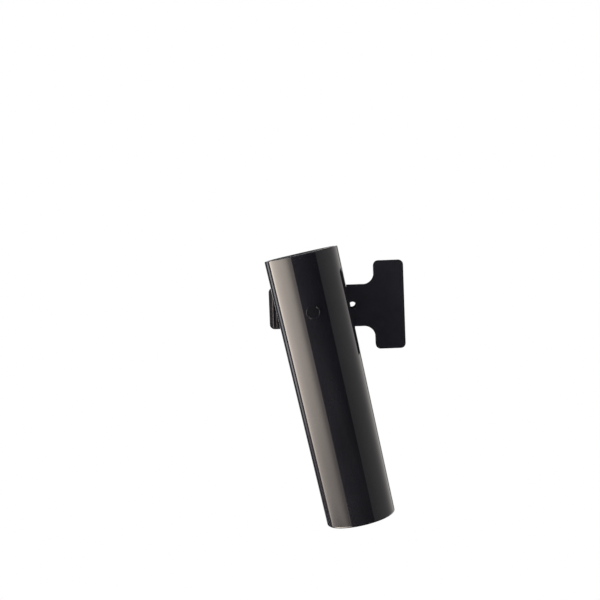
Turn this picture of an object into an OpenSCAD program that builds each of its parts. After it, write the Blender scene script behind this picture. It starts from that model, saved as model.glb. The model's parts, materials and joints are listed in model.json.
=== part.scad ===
// Clamp-on stick holder: a tapered cup that swivels on a sprung two-jaw clip.
// Origin: on the axis of the gripped stand tube, at mid-height of the jaws' cross bars.
// +X runs from the grip ends to the stand tube, +Y from the cup to the rear jaw, +Z up the tube.

/* [Stick cup] */
// Length of the cup from rim to bottom
cup_len = 216; // [160:1:262]
// Outer diameter at the rim
cup_top_d = 59; // [48:0.5:72]
// Outer diameter at the bottom
cup_bottom_d = 55; // [45:0.5:67]
// Thickness of the cup's wall
cup_wall = 2.5; // [1.8:0.1:3.2]
// Thickness of the cup's floor
cup_floor = 3; // [2:0.1:5]
// Radius of the outer edge at the bottom
cup_edge_r = 1.8; // [1:0.1:4]
// Radius inside, where the floor meets the wall
cup_inner_r = 4; // [2:0.5:8]
// Radius of the rim's two edges
rim_r = 0.8; // [0.3:0.1:1]
// Distance of the swivel axis below the rim
pivot_drop = 45.5; // [35:0.5:80]
// Lean of the cup as stored, with its mouth away from the stand, in degrees
cup_lean = 10.7; // [0:0.1:30]

/* [Access plug] */
// Hole in the front wall for the screwdriver
plug_hole_d = 9; // [8:0.1:12]
// Diameter of the plug's flange
plug_flange_d = 10.8; // [10:0.1:15]
// Height of the flange's raised rim above the wall
plug_flange_t = 0.6; // [0.4:0.1:1]
// Width of the flange's raised rim
plug_rim_w = 0.7; // [0.5:0.1:1]
// Depth of the plug's face below that rim
plug_dish = 0.3; // [0.1:0.1:0.3]
// Wall of the plug's hollow stem
plug_stem_wall = 1; // [0.8:0.1:1.6]

/* [Swivel] */
// Distance of the swivel axis from the stand tube's axis
pivot_x = 65; // [62:0.1:76]
// Diameter of the pivot screw
screw_d = 5; // [4:0.5:6]
// Length of the screw under its head
screw_len = 16; // [14:0.5:24]
// Diameter of the screw's pan head
head_d = 10; // [8:0.5:12]
// Height of the screw's pan head
head_h = 3.4; // [2.5:0.1:4]
// Thickness of the saddle at its middle
saddle_t = 1.5; // [1:0.1:3]
// Diameter of the saddle and the friction washer
saddle_d = 22; // [18:0.5:26]
// Thickness of the friction washer
friction_t = 1; // [0.5:0.1:2]
// Diameter of the curved washer inside the cup
curved_d = 14; // [12:0.5:18]
// Thickness of the curved washer at its edge
curved_t = 0.8; // [0.6:0.1:1.5]
// Thickness of the conical spring washer's sheet
cone_t = 0.5; // [0.3:0.1:0.8]
// Height of the conical spring washer over all
cone_h = 0.9; // [0.8:0.1:1.4]
// Width of the lock nut across its flats
nut_af = 8; // [7:0.5:10]
// Height of the lock nut's hexagon
nut_hex_h = 3.8; // [3:0.1:5]
// Height of the lock nut's round collar
nut_collar_h = 1.2; // [1:0.1:2]
// Solid web of the jaw under the nut
nut_web = 2.3; // [1.5:0.1:3]

/* [Stand grip] */
// Diameter of the stand tube that the jaws hold
grip_d = 25.4; // [19:0.1:31]
// Thickness of a jaw pad at its middle
pad_t = 2; // [1.5:0.1:4]
// Half of the angle that one pad wraps round the tube, in degrees
pad_wrap = 35; // [28:1:36]
// Length of a pad along the stand tube
pad_len = 64; // [40:1:64]
// Depth of the recess that holds a pad
pad_recess = 0.8; // [0.4:0.1:1.2]
// Height of the lips above and below a pad
lip_h = 1; // [0.5:0.1:1.4]

/* [Jaws] */
// Thickness of a jaw's plate
plate_t = 3.3; // [2.6:0.1:4.5]
// Distance of the grip end from the stand tube's axis
grip_reach = 101.4; // [95:0.1:122]
// Distance of the cross bar's free edge beyond the stand tube's axis
bar_over = 8.6; // [8.4:0.1:14]
// Width of the cross bar
bar_w = 24.3; // [24:0.1:30]
// Height of the cross bar
bar_h = 72; // [72:1:90]
// Height of the arm
arm_h = 34; // [34:0.5:44]
// Radius of the outer corners
corner_r = 4; // [2:0.5:6]
// Radius where the arm meets the cross bar
fillet_r = 9; // [4:0.5:12]
// How much smaller the rear jaw is along its top, bottom and end
rear_inset = 2; // [0:0.1:2.5]
// Depth of the stiffening ribs behind a plate
rib_depth = 4; // [2:0.5:5]
// Thickness of the stiffening ribs
rib_t = 2.2; // [1.5:0.1:3]
// Diameter of the through hole between hinge and cross bar
eye_d = 6.2; // [4:0.1:8]
// Distance of the through hole from the stand tube's axis
eye_x = 33.5; // [33:0.5:35]

/* [Finger ribs] */
// Number of raised ribs on a grip end
finger_count = 7; // [3:1:8]
// Distance from one finger rib to the next
finger_pitch = 2.75; // [2.4:0.05:3]
// Width of one half-round finger rib
finger_w = 1.6; // [1:0.1:1.8]
// Plain border beside the ribbed field
finger_border = 2.6; // [2:0.1:5]
// Plain border above and below the ribbed field
finger_end = 1.5; // [1.5:0.1:5]

/* [Hinge] */
// Distance of the hinge pin from the stand tube's axis
hinge_reach = 50; // [50:0.5:52]
// Diameter of the hinge pin
pin_d = 5; // [4:0.5:5]
// Diameter of the pin's head
pin_head_d = 8; // [7:0.5:10]
// Height of the pin's head
pin_head_h = 1.2; // [0.8:0.1:2]
// Length of the pin beyond the retainer
pin_tail = 0.8; // [0.5:0.1:2]
// Outer diameter of the knuckles
knuckle_d = 11; // [9:0.5:12]
// Half of a lug's width at its foot
lug_foot = 12; // [8:0.5:12]
// Thickness of a lug
lug_t = 4; // [3:0.1:4.2]
// Diameter of the push-on retainer
retainer_d = 9; // [8:0.5:11]
// Thickness of the push-on retainer
retainer_t = 0.8; // [0.5:0.1:1.2]

/* [Torsion spring] */
// Diameter of the spring's wire
wire_d = 1.8; // [1.2:0.1:2]
// Mean diameter of the coil
coil_d = 8; // [7.5:0.1:8.5]
// Whole turns of the coil
coil_turns = 6; // [3:1:6]
// Distance from the hinge pin to the end of a leg
leg_reach = 40; // [38:0.5:44]
// Length of the leg's end that lies flat on the jaw
leg_flat = 8; // [5:0.5:9]
// Height of the two guides beside a leg's end
guide_h = 1.6; // [1:0.1:2]

/* [Clearances] */
// Radial running clearance of a shaft in its hole
run_gap = 0.05; // [0.02:0.01:0.1]
// Gap between flat faces that slide on each other
slip_gap = 0.05; // [0.02:0.01:0.1]
// Gap between neighbouring lugs of the hinge
lug_gap = 0.2; // [0.1:0.05:0.4]
// Gap between the nut and its pocket, and a pad and its recess
seat_gap = 0.1; // [0.05:0.05:0.2]
// Gap between the spring's wire and the plate it bears on
wire_gap = 0.1; // [0.05:0.05:0.3]

/* [Hidden] */
$fn = 96;
arc_steps = 10;  // straight steps in a drawn quarter arc
over = 1;        // how far a cutting solid runs past the face it opens

grip_r = grip_d / 2;
plate_in = grip_r + pad_t;          // stand tube's axis to a plate's inner face
plate_out = plate_in + plate_t;     // stand tube's axis to a plate's outer face
below_pivot = cup_len - pivot_drop;
cup_r = outer_r(below_pivot);       // outer radius at the swivel's height
cup_y = -(plate_out + friction_t + slip_gap + saddle_t + cup_r);
wall_in_y = cup_y + cup_r - cup_wall;    // inner face of the rear wall at the swivel axis
curved_bulge = (cup_r - cup_wall) - sqrt(pow(cup_r - cup_wall, 2) - pow(curved_d / 2, 2));
curved_y = wall_in_y - curved_bulge - curved_t;
head_y = curved_y - slip_gap - cone_h;   // underside of the screw's head
screw_hole_d = screw_d + 2 * run_gap;
nut_y = -plate_out + nut_web;            // floor of the nut's pocket
nut_corner_d = nut_af / cos(30);
collar_d = nut_af - 0.6;
insert_d = collar_d - 1.2;
boss_d = nut_corner_d + 2 * rib_t;
pocket_d = (nut_af + 2 * seat_gap) / cos(30);
pad_edge = grip_r * cos(pad_wrap);       // stand tube's axis to a pad's side edges
pad_half_w = grip_r * sin(pad_wrap) + 0.7;
front_lug_z = arm_h / 2 - lug_gap - lug_t;    // inner face of a front lug
rear_lug_z = front_lug_z - lug_gap - lug_t;   // inner face of a rear lug
leg_y = plate_in - wire_d / 2 - wire_gap;     // pin's axis to the wire's axis at a leg's end
leg_bend = leg_reach - leg_flat;
coil_r = coil_d / 2;
leg_angle = atan2(leg_y, leg_bend) - asin(coil_r / norm([leg_bend, leg_y]));
coil_angle = 180 - 2 * leg_angle + 360 * coil_turns;
coil_pitch = wire_d + 0.15;
coil_half = coil_pitch * coil_angle / 360 / 2;
guide_gap = wire_d + 0.6;
guide_t = 1.2;

// The cup's outer radius at a height above its bottom
function outer_r(height) =
    cup_bottom_d / 2 + (cup_top_d - cup_bottom_d) / 2 * height / cup_len;

// Points of an arc, from angle a to angle b
function arc(c, r, a, b, n = arc_steps) =
    [for (i = [0:n]) c + r * [cos(a + (b - a) * i / n), sin(a + (b - a) * i / n)]];

// Places a child on the cup's own axes: origin at the swivel's height, +Z towards the rim
module on_cup() {
    translate([-pivot_x, cup_y, 0]) rotate([0, -cup_lean, 0]) children();
}

// A rod along +Y, from y0 to y1
module rod_y(y0, y1, d) {
    translate([0, y0, 0]) rotate([-90, 0, 0]) cylinder(h = y1 - y0, d = d);
}

// A ring along +Y, from y0 to y1
module ring_y(y0, y1, d, hole_d) {
    difference() {
        rod_y(y0, y1, d);
        rod_y(y0 - over, y1 + over, hole_d);
    }
}

// The cup's outer cone, larger all round by grow
module cup_cone(grow = 0) {
    translate([0, 0, -below_pivot])
        cylinder(h = cup_len, r1 = cup_bottom_d / 2 + grow, r2 = cup_top_d / 2 + grow);
}

// Half section of the cup, with its bottom at height 0
module cup_section() {
    edge_z = cup_edge_r;
    rim_z = cup_len - rim_r;
    inner_z = cup_floor + cup_inner_r;
    polygon(concat(
        [[0, 0]],
        arc([outer_r(edge_z) - cup_edge_r, edge_z], cup_edge_r, -90, 0),
        arc([outer_r(rim_z) - rim_r, rim_z], rim_r, 0, 90),
        arc([outer_r(rim_z) - cup_wall + rim_r, rim_z], rim_r, 90, 180),
        arc([outer_r(inner_z) - cup_wall - cup_inner_r, inner_z], cup_inner_r, 0, -90),
        [[0, cup_floor]]
    ));
}

module stick_cup() {
    color("#17171b") on_cup() difference() {
        translate([0, 0, -below_pivot]) rotate_extrude() cup_section();
        rod_y(0, cup_r + over, screw_hole_d);
        rod_y(-cup_r - over, 0, plug_hole_d);
    }
}

// Push-in plug over the screwdriver hole: a curved flange with a raised rim, and a hollow stem
module access_plug() {
    stem_d = plug_hole_d - 2 * seat_gap;
    stem_end = -(cup_r - cup_wall - 1.2);
    color("#101014") on_cup() difference() {
        intersection() {
            union() {
                difference() {
                    rod_y(-cup_r - over, -cup_r / 2, plug_flange_d);
                    cup_cone();
                }
                rod_y(-cup_r - over, stem_end, stem_d);
            }
            cup_cone(plug_flange_t);
        }
        difference() {
            rod_y(-cup_r - 2 * over, -cup_r / 2, plug_flange_d - 2 * plug_rim_w);
            cup_cone(plug_flange_t - plug_dish);
        }
        rod_y(-cup_r + plug_stem_wall, stem_end + over, stem_d - 2 * plug_stem_wall);
    }
}

// Block that fits the cup's round back to the clip's flat front
module swivel_saddle() {
    color("#1b1b1f") on_cup() difference() {
        rod_y(cup_r / 2, cup_r + saddle_t, saddle_d);
        cup_cone();
        rod_y(0, cup_r + saddle_t + over, screw_hole_d);
    }
}

// Washer inside the cup, curved on its outer side to the wall and flat towards the screw
module curved_washer() {
    flat_y = curved_y - cup_y;
    color("#8d9094") on_cup() difference() {
        intersection() {
            rod_y(flat_y, cup_r, curved_d);
            cup_cone(-cup_wall);
        }
        rod_y(flat_y - over, cup_r, screw_hole_d);
    }
}

// Conical spring washer that keeps the swivel's friction even
module spring_washer() {
    inner = screw_hole_d / 2;
    outer = head_d / 2;
    color("#75787c") translate([-pivot_x, head_y, 0]) rotate([-90, 0, 0]) rotate_extrude()
        polygon([[inner, 0], [inner, cone_t], [outer, cone_h], [outer, cone_h - cone_t]]);
}

// Pan head screw, with a cross recess
module pivot_screw() {
    edge = head_h * 0.4;
    color("#9a9da1") translate([-pivot_x, head_y, 0]) difference() {
        union() {
            rotate([90, 0, 0]) rotate_extrude() polygon(concat(
                [[0, 0], [head_d / 2, 0]],
                [for (a = [0:15:75])
                    [head_d / 2 * cos(a), edge + (head_h - edge) * sin(a)]],
                [[0, head_h]]
            ));
            rod_y(0, screw_len, screw_d);
        }
        for (turn = [0, 90]) rotate([0, turn, 0])
            translate([-head_d / 4, -head_h - over, -head_d / 16])
                cube([head_d / 2, head_h * 0.6 + over, head_d / 8]);
    }
}

module friction_washer() {
    color("#d8d2c0") translate([-pivot_x, 0, 0])
        ring_y(-plate_out - friction_t, -plate_out, saddle_d, screw_d);
}

// Hexagon nut with a round collar that holds a nylon ring
module lock_nut() {
    color("#a7a9ac") translate([-pivot_x, nut_y, 0]) difference() {
        union() {
            rotate([-90, 0, 0]) rotate([0, 0, 30]) cylinder(h = nut_hex_h, d = nut_corner_d, $fn = 6);
            rod_y(0, nut_hex_h + nut_collar_h, collar_d);
        }
        rod_y(-over, nut_hex_h + nut_collar_h + over, screw_d);
        rod_y(nut_hex_h, nut_hex_h + nut_collar_h + over, insert_d);
    }
}

module nut_insert() {
    color("#e6e6e0") translate([-pivot_x, nut_y, 0])
        ring_y(nut_hex_h, nut_hex_h + nut_collar_h * 0.9, insert_d, screw_d);
}

// Outline of a jaw: an arm that ends in a cross bar, smaller by inset except at the free edge
module jaw_outline(inset) {
    left = -grip_reach + inset;
    arm = arm_h / 2 - inset;
    bar = bar_h / 2 - inset;
    bar_left = bar_over - bar_w + inset;
    r = corner_r;
    f = fillet_r;
    polygon(concat(
        arc([left + r, -arm + r], r, 180, 270),
        arc([bar_left - f, -arm - f], f, 90, 0),
        arc([bar_left + r, -bar + r], r, 180, 270),
        arc([bar_over - r, -bar + r], r, 270, 360),
        arc([bar_over - r, bar - r], r, 0, 90),
        arc([bar_left + r, bar - r], r, 90, 180),
        arc([bar_left - f, arm + f], f, 360, 270),
        arc([left + r, arm - r], r, 90, 180)
    ));
}

// Plate of the front jaw with everything that both jaws share; spring_side is 1 or -1
module jaw_plate(inset, spring_side) {
    left = -grip_reach + inset;
    arm = arm_h / 2 - inset;
    bar = bar_h / 2 - inset;
    bar_left = bar_over - bar_w + inset;
    field = left + finger_border;
    difference() {
        union() {
            translate([0, -plate_in, 0]) rotate([90, 0, 0]) linear_extrude(plate_t) jaw_outline(inset);
            // half-round finger ribs on the outer face of the grip end
            for (i = [0:finger_count - 1])
                translate([field + finger_w / 2 + i * finger_pitch, -plate_out, -arm + finger_end])
                    cylinder(h = 2 * (arm - finger_end), d = finger_w);
            // stiffening ribs along the arm's edges and the cross bar's inner edge
            for (z = [-arm, arm - rib_t])
                translate([left + corner_r, -plate_in - over, z])
                    cube([bar_left - left - corner_r + rib_t, rib_depth + over, rib_t]);
            translate([bar_left, -plate_in - over, -bar + corner_r])
                cube([rib_t, rib_depth * 0.75 + over, 2 * (bar - corner_r)]);
            // lips above and below the pad
            for (z = [-pad_len / 2 - seat_gap - rib_t / 2, pad_len / 2 + seat_gap])
                translate([-pad_half_w, -plate_in - over, z])
                    cube([2 * pad_half_w, lip_h + over, rib_t / 2]);
            // guides beside the spring leg's end
            for (side = [-1, 1])
                translate([
                    -hinge_reach - leg_reach - over,
                    -plate_in - over,
                    spring_side * coil_half + side * (guide_gap + guide_t) / 2 - guide_t / 2
                ])
                    cube([leg_flat, guide_h + over, guide_t]);
        }
        // recess for the pad
        translate([-pad_half_w - seat_gap, -plate_in - pad_recess, -pad_len / 2 - seat_gap])
            cube([2 * (pad_half_w + seat_gap), pad_recess + over, pad_len + 2 * seat_gap]);
        // through hole
        translate([-eye_x, 0, 0]) rod_y(-plate_out - over, -plate_in + over, eye_d);
    }
}

// Two hinge lugs that rise from the front jaw's plate to the pin, mirrored in Z
module lugs(inner_z) {
    for (z = [-inner_z - lug_t, inner_z]) translate([-hinge_reach, 0, z])
        linear_extrude(lug_t) {
            circle(d = knuckle_d);
            polygon([
                [-lug_foot, -plate_in - over], [lug_foot, -plate_in - over],
                [knuckle_d / 2, 0], [-knuckle_d / 2, 0]
            ]);
        }
}

// A rod along the hinge's axis, long enough to pass both lugs
module hinge_bore(d) {
    translate([-hinge_reach, 0, -arm_h]) cylinder(h = 2 * arm_h, d = d);
}

// Front jaw: carries the cup's swivel and holds the hinge pin fast
module front_jaw() {
    color("#1c1b20") difference() {
        union() {
            jaw_plate(0, 1);
            lugs(front_lug_z);
            translate([-pivot_x, 0, 0]) rod_y(-plate_in - over, nut_y + nut_hex_h, boss_d);
        }
        hinge_bore(pin_d);
        translate([-pivot_x, 0, 0]) rod_y(-plate_out - over, nut_y + over, screw_d);
        translate([-pivot_x, nut_y, 0]) rotate([-90, 0, 0]) rotate([0, 0, 30])
            cylinder(h = nut_hex_h + over, d = pocket_d, $fn = 6);
    }
}

// Rear jaw: turns on the hinge pin between the front jaw's lugs
module rear_jaw() {
    color("#1c1b20") mirror([0, 1, 0]) difference() {
        union() {
            jaw_plate(rear_inset, -1);
            lugs(rear_lug_z);
        }
        hinge_bore(pin_d + 2 * run_gap);
    }
}

// Rubber pad with a hollow face that fits the stand tube
module jaw_pad() {
    difference() {
        translate([-pad_half_w, -plate_in - pad_recess, -pad_len / 2])
            cube([2 * pad_half_w, plate_in + pad_recess - pad_edge, pad_len]);
        translate([0, 0, -pad_len]) cylinder(h = 2 * pad_len, r = grip_r);
    }
}

module front_jaw_pad() {
    color("#26262a") jaw_pad();
}

module rear_jaw_pad() {
    color("#26262a") mirror([0, 1, 0]) jaw_pad();
}

// Headed pin, pressed into the front jaw's lugs
module hinge_pin() {
    top = front_lug_z + lug_t;
    color("#9fa1a4") translate([-hinge_reach, 0, 0]) {
        translate([0, 0, -top - retainer_t - pin_tail])
            cylinder(h = 2 * top + retainer_t + pin_tail + pin_head_h, d = pin_d);
        translate([0, 0, top]) cylinder(h = pin_head_h, d1 = pin_head_d, d2 = pin_head_d - 1);
    }
}

// Push-on retainer under the lower lug
module pin_retainer() {
    top = front_lug_z + lug_t;
    color("#6f7276") translate([-hinge_reach, 0, -top - retainer_t]) difference() {
        cylinder(h = retainer_t, d = retainer_d);
        translate([0, 0, -over]) cylinder(h = retainer_t + 2 * over, d = pin_d);
    }
}

// Route of the spring's wire round the pin: front leg, coil, rear leg
steps_per_turn = 18;
coil_steps = ceil(coil_angle / 360 * steps_per_turn);
coil_path = [for (i = [0:coil_steps])
    let (a = leg_angle - 90 + coil_angle * i / coil_steps)
        [coil_r * cos(a), coil_r * sin(a), coil_half - 2 * coil_half * i / coil_steps]];
wire_path = concat(
    [[-leg_reach, -leg_y, coil_half], [-leg_bend, -leg_y, coil_half]],
    coil_path,
    [[-leg_bend, leg_y, -coil_half], [-leg_reach, leg_y, -coil_half]]
);

// Unit direction of the route at point i, and one ring of the wire's surface there
function unit(v) = v / norm(v);
function heading(p, i) = unit(p[min(i + 1, len(p) - 1)] - p[max(i - 1, 0)]);
function ring(p, i, r, n) =
    let (t = heading(p, i), u = unit([0, 0, 1] - t.z * t), v = cross(t, u))
        [for (k = [0:n - 1]) p[i] + r * (u * cos(360 * k / n) + v * sin(360 * k / n))];

// Round wire swept along a route
module wire(path, d, sides = 10) {
    count = len(path);
    points = [for (i = [0:count - 1]) each ring(path, i, d / 2, sides)];
    walls = [for (i = [0:count - 2], k = [0:sides - 1])
        let (a = i * sides + k, b = i * sides + (k + 1) % sides)
            [a, b, b + sides, a + sides]];
    polyhedron(points, concat(
        [[for (k = [sides - 1:-1:0]) k]],
        walls,
        [[for (k = [0:sides - 1]) (count - 1) * sides + k]]
    ));
}

module torsion_spring() {
    color("#85888c") translate([-hinge_reach, 0, 0]) wire(wire_path, wire_d);
}

stick_cup();
access_plug();
swivel_saddle();
curved_washer();
spring_washer();
pivot_screw();
friction_washer();
lock_nut();
nut_insert();
front_jaw();
rear_jaw();
front_jaw_pad();
rear_jaw_pad();
hinge_pin();
pin_retainer();
torsion_spring();
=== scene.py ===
"""Looks for the clamp-on stick holder: finishes, rounded edges, the hinge spring, camera and studio."""
import json
import math

import bmesh
import bpy
from mathutils import Matrix, Vector


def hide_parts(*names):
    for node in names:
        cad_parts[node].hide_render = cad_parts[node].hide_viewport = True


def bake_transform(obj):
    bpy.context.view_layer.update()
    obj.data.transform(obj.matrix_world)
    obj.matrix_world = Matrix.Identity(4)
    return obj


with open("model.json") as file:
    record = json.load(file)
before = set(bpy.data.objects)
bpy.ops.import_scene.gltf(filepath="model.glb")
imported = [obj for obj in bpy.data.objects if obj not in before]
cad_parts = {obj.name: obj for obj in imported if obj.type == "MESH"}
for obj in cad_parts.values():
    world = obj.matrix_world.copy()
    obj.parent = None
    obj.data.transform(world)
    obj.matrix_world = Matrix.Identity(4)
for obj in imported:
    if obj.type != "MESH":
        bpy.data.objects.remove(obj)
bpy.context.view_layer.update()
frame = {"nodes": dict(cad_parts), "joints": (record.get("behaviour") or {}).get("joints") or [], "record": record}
nodes = frame["nodes"]

# ---------------------------------------------------------------- camera
CAMERA_AT = Vector((-0.0556, -1.0382, 0.0680))
CAMERA_YAW = math.radians(1.15)
CAMERA_PITCH = math.radians(-3.47)
CAMERA_ROLL = math.radians(-2.20)
CAMERA_LENS = 75.37
CAMERA_SENSOR = 36.0


def make_camera():
    data = bpy.data.cameras.new("camera")
    data.lens = CAMERA_LENS
    data.sensor_width = CAMERA_SENSOR
    data.clip_start, data.clip_end = 0.05, 60
    camera = bpy.data.objects.new("camera", data)
    bpy.context.scene.collection.objects.link(camera)
    forward = Vector((
        -math.sin(CAMERA_YAW) * math.cos(CAMERA_PITCH),
        math.cos(CAMERA_YAW) * math.cos(CAMERA_PITCH),
        math.sin(CAMERA_PITCH),
    ))
    right = Vector((math.cos(CAMERA_YAW), math.sin(CAMERA_YAW), 0))
    up = right.cross(forward)
    c, s = math.cos(CAMERA_ROLL), math.sin(CAMERA_ROLL)
    x_axis = right * c + up * s
    y_axis = up * c - right * s
    turn = Matrix((x_axis, y_axis, -forward)).transposed()
    camera.matrix_world = Matrix.Translation(CAMERA_AT) @ turn.to_4x4()
    bpy.context.scene.camera = camera


# ---------------------------------------------------------------- materials
class Tree:
    """Short calls for building one material's nodes."""

    def __init__(self, name, **inputs):
        self.material = bpy.data.materials.new(name)
        self.material.use_nodes = True
        self.tree = self.material.node_tree
        self.shader = self.tree.nodes["Principled BSDF"]
        for socket, value in inputs.items():
            self.shader.inputs[socket.replace("_", " ")].default_value = value
        self.place = self.tree.nodes.new("ShaderNodeTexCoord").outputs["Object"]

    def node(self, kind, **settings):
        made = self.tree.nodes.new(kind)
        for name, value in settings.items():
            setattr(made, name, value)
        return made

    def link(self, source, target):
        self.tree.links.new(source, target)

    def stretched(self, x, y, z):
        mapping = self.node("ShaderNodeMapping")
        mapping.inputs["Scale"].default_value = (x, y, z)
        self.link(self.place, mapping.inputs["Vector"])
        return mapping.outputs["Vector"]

    def noise(self, size, detail=2.0, roughness=0.5, place=None):
        """Noise whose features are about size metres across."""
        made = self.node("ShaderNodeTexNoise")
        made.inputs["Scale"].default_value = 1 / size
        made.inputs["Detail"].default_value = detail
        made.inputs["Roughness"].default_value = roughness
        self.link(place or self.place, made.inputs["Vector"])
        return made.outputs["Fac"]

    def cells(self, size):
        made = self.node("ShaderNodeTexVoronoi", feature="F1")
        made.inputs["Scale"].default_value = 1 / size
        self.link(self.place, made.inputs["Vector"])
        return made.outputs["Distance"]

    def ramp(self, factor, stops):
        made = self.node("ShaderNodeValToRGB")
        elements = made.color_ramp.elements
        while len(elements) < len(stops):
            elements.new(0.5)
        for element, (at, colour) in zip(elements, stops):
            element.position = at
            element.color = (*colour, 1)
        self.link(factor, made.inputs["Fac"])
        return made.outputs["Color"]

    def between(self, factor, low, high, start=0.0, end=1.0):
        """A value from low to high as factor runs from start to end."""
        made = self.node("ShaderNodeMapRange")
        for socket, value in zip(("From Min", "From Max", "To Min", "To Max"), (start, end, low, high)):
            made.inputs[socket].default_value = value
        self.link(factor, made.inputs["Value"])
        return made.outputs["Result"]

    def maths(self, operation, a, b):
        made = self.node("ShaderNodeMath", operation=operation)
        for socket, value in zip(made.inputs, (a, b)):
            if isinstance(value, (int, float)):
                socket.default_value = value
            else:
                self.link(value, socket)
        return made.outputs["Value"]

    def bump(self, height, distance, normal=None):
        made = self.node("ShaderNodeBump")
        made.inputs["Strength"].default_value = 1.0
        made.inputs["Distance"].default_value = distance
        self.link(height, made.inputs["Height"])
        if normal:
            self.link(normal, made.inputs["Normal"])
        return made.outputs["Normal"]

    def colour(self, source):
        self.link(source, self.shader.inputs["Base Color"])

    def roughness(self, source):
        self.link(source, self.shader.inputs["Roughness"])

    def normal(self, source):
        self.link(source, self.shader.inputs["Normal"])


def gloss_black(name, base, rough_low, rough_high):
    """Moulded black plastic with a high gloss: faint orange peel, flow waves and wiping marks."""
    t = Tree(name, IOR=1.52, Specular_IOR_Level=0.5)
    cloud = t.noise(0.035, 3)
    t.colour(t.ramp(cloud, [(0.3, [v * 0.85 for v in base]), (0.7, [v * 1.15 for v in base])]))
    wipe = t.noise(0.0016, 4, 0.6, t.stretched(1, 1, 0.08))
    marks = t.between(wipe, 0, 1, 0.56, 0.74)
    dust = t.between(t.noise(0.012, 4, 0.65), 0, 1, 0.5, 0.85)
    t.roughness(t.between(t.maths("MULTIPLY", marks, dust), rough_low, rough_high))
    wave = t.bump(t.noise(0.045, 1, 0.4, t.stretched(1, 1, 0.35)), 0.00006)
    peel = t.bump(t.noise(0.0035, 1.5), 0.0000035, wave)
    t.normal(peel)
    return t.material


def matte_black(name, base):
    """Moulded black plastic from a spark-eroded tool: fine grain, slightly polished where fingers rub."""
    t = Tree(name, IOR=1.5, Specular_IOR_Level=0.5)
    cloud = t.noise(0.02, 4)
    t.colour(t.ramp(cloud, [(0.3, [v * 0.8 for v in base]), (0.72, [v * 1.25 for v in base])]))
    rub = t.noise(0.009, 5, 0.6)
    t.roughness(t.between(rub, 0.46, 0.62, 0.35, 0.7))
    grain = t.maths("ADD", t.cells(0.00042), t.noise(0.00028, 3))
    t.normal(t.bump(grain, 0.000035))
    return t.material


def rubber(name, base):
    t = Tree(name, IOR=1.5, Specular_IOR_Level=0.35)
    cloud = t.noise(0.012, 5)
    t.colour(t.ramp(cloud, [(0.3, [v * 0.75 for v in base]), (0.75, [v * 1.35 for v in base])]))
    t.roughness(t.between(t.noise(0.004, 4), 0.72, 0.9, 0.3, 0.7))
    t.normal(t.bump(t.noise(0.0005, 4, 0.6), 0.00005))
    return t.material


def plated_steel(name, base, rough_low, rough_high, grain):
    """Bright plated or drawn steel: soft clouds of tone and fine marks from forming."""
    t = Tree(name, Metallic=1.0)
    cloud = t.noise(0.006, 4, 0.6)
    warm = [base[0] * 1.05, base[1] * 0.99, base[2] * 0.88]
    cool = [base[0] * 0.86, base[1] * 0.93, base[2] * 1.02]
    t.colour(t.ramp(cloud, [(0.32, cool), (0.5, base), (0.7, warm)]))
    t.roughness(t.between(t.noise(0.0022, 5, 0.65), rough_low, rough_high, 0.3, 0.7))
    t.normal(t.bump(t.noise(grain, 3, 0.6), grain * 0.02))
    return t.material


def nylon(name, base):
    t = Tree(name, IOR=1.53, Specular_IOR_Level=0.5, Subsurface_Weight=0.15, Subsurface_Scale=0.0008)
    cloud = t.noise(0.008, 3)
    t.colour(t.ramp(cloud, [(0.3, [v * 0.93 for v in base]), (0.7, base)]))
    t.roughness(t.between(t.noise(0.003, 3), 0.34, 0.5, 0.3, 0.7))
    t.normal(t.bump(t.noise(0.0006, 2), 0.000012))
    return t.material


BLACK = (0.0125, 0.0128, 0.0165)
finishes = {
    "cup_plastic": gloss_black("cup_gloss_black", BLACK, 0.03, 0.09),
    "plug_plastic": gloss_black("plug_gloss_black", (0.0105, 0.0107, 0.0138), 0.05, 0.13),
    "clip_plastic": matte_black("clip_matte_black", (0.0078, 0.0072, 0.0118)),
    "pad_rubber": rubber("pad_black_rubber", (0.017, 0.017, 0.018)),
    "zinc_steel": plated_steel("zinc_plated_steel", (0.62, 0.63, 0.64), 0.2, 0.36, 0.0007),
    "spring_steel": plated_steel("drawn_spring_steel", (0.36, 0.365, 0.38), 0.26, 0.42, 0.0004),
    "nylon": nylon("natural_nylon", (0.80, 0.78, 0.70)),
}
slot_of = {part["node"]: part["material_slot"] for part in frame["record"]["subparts"]}


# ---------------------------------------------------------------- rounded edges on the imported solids
WELD_DISTANCE = 0.000004
FLAT_ANGLE = math.radians(0.6)
SHARP_ANGLE = math.radians(32)
BEVEL_SEGMENTS = 3
FACE_WEIGHT = 60


def soften(obj, width):
    """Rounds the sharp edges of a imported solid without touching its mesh."""
    weld = obj.modifiers.new("weld", "WELD")
    weld.merge_threshold = WELD_DISTANCE
    flat = obj.modifiers.new("flat", "DECIMATE")
    flat.decimate_type = "DISSOLVE"
    flat.angle_limit = FLAT_ANGLE
    bevel = obj.modifiers.new("edge", "BEVEL")
    bevel.width = width
    bevel.segments = BEVEL_SEGMENTS
    bevel.limit_method = "ANGLE"
    bevel.angle_limit = SHARP_ANGLE
    bevel.use_clamp_overlap = True
    bevel.miter_outer = "MITER_ARC"
    normals = obj.modifiers.new("normals", "WEIGHTED_NORMAL")
    normals.weight = FACE_WEIGHT
    normals.keep_sharp = False


EDGE_ROUNDING = {
    "swivel_saddle": 0.0003,
    "pivot_screw": 0.0002,
    "curved_washer": 0.00015,
    "nut_insert": 0.0001,
    "front_jaw": 0.0005,
    "rear_jaw": 0.0005,
    "front_jaw_pad": 0.0006,
    "rear_jaw_pad": 0.0006,
    "lock_nut": 0.0002,
    "friction_washer": 0.00015,
    "pin_retainer": 0.0001,
    "access_plug": 0.00028,
    "hinge_pin": 0.0002,
}

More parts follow.
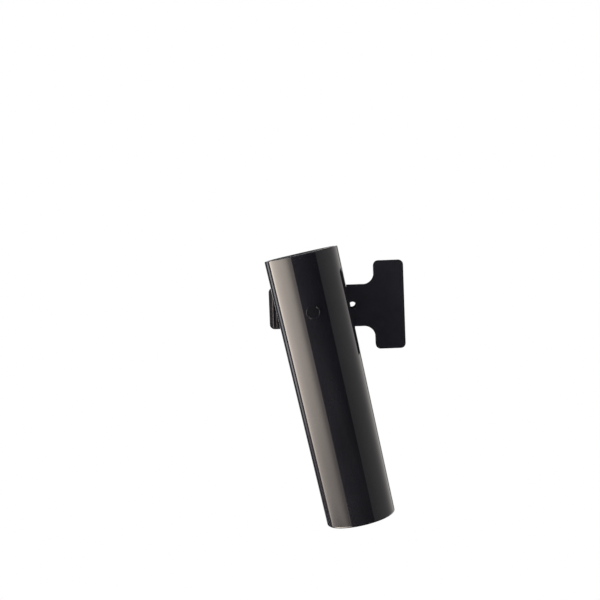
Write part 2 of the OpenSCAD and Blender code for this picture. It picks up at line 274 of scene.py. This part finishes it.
for name, obj in nodes.items():
    for slot in obj.material_slots:
        slot.material = finishes[slot_of[name]]
    if name in EDGE_ROUNDING:
        soften(obj, EDGE_ROUNDING[name])


# ---------------------------------------------------------------- torsion spring
HINGE_X = frame["joints"][0]["pos_m"][0]
WIRE_R = 0.0009
COIL_R = 0.0040
COIL_TURNS = 6
COIL_PITCH = 0.00195
LEG_REACH = 0.040
LEG_FLAT = 0.008
LEG_Y = 0.0137
WIRE_SIDES = 20
STEPS_PER_TURN = 40
LEG_BEND_R = 0.003
BEND_STEPS = 8
LEG_POINTS = (0.4, 0.7)
WIRE_END_CHAMFER = 0.0002


def spring_route():
    """Centreline of the wire: leg on the front jaw, coil, leg on the rear jaw."""
    bend = LEG_REACH - LEG_FLAT
    leg_angle = math.atan2(LEG_Y, bend) - math.asin(COIL_R / math.hypot(bend, LEG_Y))
    sweep = math.pi - 2 * leg_angle + 2 * math.pi * COIL_TURNS
    half = COIL_PITCH * sweep / (2 * math.pi) / 2
    steps = math.ceil(sweep / (2 * math.pi) * STEPS_PER_TURN)
    coil = []
    for i in range(steps + 1):
        a = leg_angle - math.pi / 2 + sweep * i / steps
        coil.append(Vector((COIL_R * math.cos(a), COIL_R * math.sin(a), half - 2 * half * i / steps)))

    def leg(side):
        """From the wire's end to the coil, with a rounded bend."""
        end = Vector((-LEG_REACH, side * LEG_Y, -side * half))
        corner = Vector((-bend, side * LEG_Y, -side * half))
        touch = coil[0] if side < 0 else coil[-1]
        a = (end - corner).normalized()
        b = (touch - corner).normalized()
        points = [end, end.lerp(corner, LEG_POINTS[0])]
        for i in range(BEND_STEPS + 1):
            t = i / BEND_STEPS
            p, q = corner + a * LEG_BEND_R, corner + b * LEG_BEND_R
            points.append(p * (1 - t) ** 2 + corner * 2 * t * (1 - t) + q * t ** 2)
        return points + [corner.lerp(touch, k) for k in LEG_POINTS]

    return leg(-1) + coil + leg(1)[::-1], half


def sweep_tube(name, route, radius, sides, chamfer):
    """Round wire along a route, with a chamfer at its two cut ends."""
    bm = bmesh.new()
    rings = []
    turns = [(math.cos(2 * math.pi * k / sides), math.sin(2 * math.pi * k / sides)) for k in range(sides)]
    first = (route[1] - route[0]).normalized()
    side = first.cross(Vector((0, 0, 1))).normalized()
    stations = [(route[0], radius - chamfer)]
    stations += [(route[0] + first * chamfer, radius)]
    stations += [(p, radius) for p in route[1:-1]]
    last = (route[-1] - route[-2]).normalized()
    stations += [(route[-1] - last * chamfer, radius), (route[-1], radius - chamfer)]
    for i, (p, r) in enumerate(stations):
        before = stations[max(i - 1, 0)][0]
        after = stations[min(i + 1, len(stations) - 1)][0]
        t = (after - before).normalized()
        side = (side - t * side.dot(t)).normalized()
        other = t.cross(side)
        rings.append([bm.verts.new(p + r * (side * c + other * s)) for c, s in turns])
    for a, b in zip(rings, rings[1:]):
        for k in range(sides):
            n = (k + 1) % sides
            bm.faces.new((a[k], a[n], b[n], b[k]))
    bm.faces.new(rings[0][::-1])
    bm.faces.new(rings[-1])
    bmesh.ops.recalc_face_normals(bm, faces=bm.faces)
    mesh = bpy.data.meshes.new(name)
    bm.to_mesh(mesh)
    bm.free()
    mesh.shade_smooth()
    obj = bpy.data.objects.new(name, mesh)
    bpy.context.scene.collection.objects.link(obj)
    return obj


route, coil_half = spring_route()
route = [p + Vector((HINGE_X, 0, 0)) for p in route]
wire = sweep_tube("torsion_spring_wire", route, WIRE_R, WIRE_SIDES, WIRE_END_CHAMFER)
wire.data.materials.append(finishes["spring_steel"])
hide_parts("torsion_spring")
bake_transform(wire)


# ---------------------------------------------------------------- studio
AROUND = Vector((-0.050, -0.050, -0.060))
CARD_RADIUS = 1.6
CARD_STEP = 3
WHITE = (1, 1, 1)


def glow_material(name, colour):
    """Light whose strength at each point comes from the card's own attribute."""
    material = bpy.data.materials.new(name)
    material.use_nodes = True
    tree = material.node_tree
    tree.nodes.clear()
    level = tree.nodes.new("ShaderNodeAttribute")
    level.attribute_name = "level"
    glow = tree.nodes.new("ShaderNodeEmission")
    glow.inputs["Color"].default_value = (*colour, 1)
    out = tree.nodes.new("ShaderNodeOutputMaterial")
    tree.links.new(level.outputs["Fac"], glow.inputs["Strength"])
    tree.links.new(glow.outputs["Emission"], out.inputs["Surface"])
    return material


def add_card(name, mesh, colour):
    card = bpy.data.objects.new(name, mesh)
    bpy.context.scene.collection.objects.link(card)
    card.data.materials.append(glow_material(name, colour))
    return card


def curved_card(name, profile, heights, colour=WHITE):
    """A tall card bent round the object, with a column every CARD_STEP degrees or so.

    profile lists (angle from the camera side towards +X in degrees, strength), and heights
    lists (z in metres, share of that strength).
    """
    columns = []
    for (a, la), (b, lb) in zip(profile, profile[1:]):
        n = max(1, round(abs(b - a) / CARD_STEP))
        columns += [(a + (b - a) * i / n, la + (lb - la) * i / n) for i in range(n)]
    columns.append(profile[-1])
    verts, levels = [], []
    for angle, level in columns:
        t = math.radians(angle)
        for z, share in heights:
            verts.append((AROUND.x + CARD_RADIUS * math.sin(t), AROUND.y - CARD_RADIUS * math.cos(t), z))
            levels.append(level * share)
    rows = len(heights)
    faces = [
        (c * rows + r, c * rows + r + 1, (c + 1) * rows + r + 1, (c + 1) * rows + r)
        for c in range(len(columns) - 1) for r in range(rows - 1)
    ]
    mesh = bpy.data.meshes.new(name)
    mesh.from_pydata(verts, [], faces)
    mesh.attributes.new("level", "FLOAT", "POINT").data.foreach_set("value", levels)
    card = add_card(name, mesh, colour)
    card.visible_camera = False
    return card


def flat_card(name, centre, half_x, half_y, level):
    c = Vector(centre)
    verts = [c + Vector((sx * half_x, sy * half_y, 0)) for sx, sy in ((-1, -1), (1, -1), (1, 1), (-1, 1))]
    mesh = bpy.data.meshes.new(name)
    mesh.from_pydata(verts, [], [(0, 1, 2, 3)])
    mesh.attributes.new("level", "FLOAT", "POINT").data.foreach_set("value", [level] * 4)
    return add_card(name, mesh, WHITE)


def only_for_camera(obj):
    """Seen behind the object, but neither lit by it nor mirrored in it."""
    obj.visible_diffuse = obj.visible_glossy = obj.visible_transmission = obj.visible_shadow = False


KEY_COLOUR = (1.09, 0.97, 0.85)
WARM = (1.04, 1.0, 0.96)
COOL = (0.95, 0.94, 1.12)
curved_card(
    "key_softbox",
    [(-118.5, 7.4), (-113, 7.4), (-109, 6.2), (-88, 6.4), (-66, 5.8), (-58, 5.2), (-52, 4.5), (-47, 3.6),
     (-43, 2.8), (-40, 2.1), (-36, 1.75), (-31.8, 1.55), (-31.2, 1.55)],
    [(-3.2, 2.2), (-1.5, 1.7), (-1.25, 0.1), (-0.95, 0.12), (-0.84, 0.4), (-0.74, 0.5), (-0.62, 0.67),
     (-0.51, 0.8), (-0.42, 0.87), (-0.28, 1.0), (0.6, 1.0)],
    KEY_COLOUR,
)
curved_card(
    "edge_strip",
    [(-139, 1.15), (-128, 1.0)],
    [(-0.75, 0.1), (-0.6, 0.3), (-0.48, 1.0), (0.6, 1.0)],
)
curved_card(
    "front_fill",
    [(-31, 0.06), (-12, 0.07), (5, 0.09), (17, 0.08), (25, 0.07), (35, 0.06), (43, 0.06)],
    [(-1.0, 0.7), (-0.55, 0.6), (-0.42, 0.7), (-0.33, 1.2), (-0.25, 1.0), (-0.15, 0.45), (0.1, 0.1),
     (0.6, 0.0)],
)
curved_card(
    "right_fill",
    [(44.5, 0.33), (52, 0.36), (60, 0.41), (70, 0.48), (80, 0.53), (95, 0.57), (107, 0.64), (118, 0.74),
     (126, 0.9), (141, 1.05), (152, 1.0)],
    [(-1.1, 1.25), (-0.77, 1.2), (-0.43, 1.02), (0.9, 1.0)],
    WARM,
)
curved_card("upper_fill", [(-75, 1.3), (75, 1.3)], [(0.4, 1.0), (1.7, 1.0)], COOL)
curved_card("white_behind", [(162, 1.0), (198, 1.0)], [(-1.1, 1.0), (1.1, 1.0)])
top_card = flat_card(
    "top_card", (AROUND.x - 0.1, AROUND.y + 0.15, 1.4), half_x=0.5, half_y=0.35, level=3.0
)
top_card.visible_camera = False

FLOOR_Z = -0.9
ROOM = 9.0
ROOM_TONE = (0.012, 0.012, 0.014)
DOME_SEGMENTS = 48
DOME_RINGS = 24
floor = flat_card("floor", (0, 0, FLOOR_Z), half_x=2 * ROOM, half_y=2 * ROOM, level=1.0)
only_for_camera(floor)
dome = bpy.data.meshes.new("backdrop")
bm = bmesh.new()
bmesh.ops.create_uvsphere(bm, u_segments=DOME_SEGMENTS, v_segments=DOME_RINGS, radius=ROOM)
bm.to_mesh(dome)
bm.free()
dome.attributes.new("level", "FLOAT", "POINT").data.foreach_set("value", [1.0] * len(dome.vertices))
only_for_camera(add_card("backdrop", dome, WHITE))

world = bpy.data.worlds.new("studio")
bpy.context.scene.world = world
world.use_nodes = True
world.node_tree.nodes["Background"].inputs["Color"].default_value = (*ROOM_TONE, 1)
bpy.context.scene.view_settings.view_transform = "Standard"

make_camera()
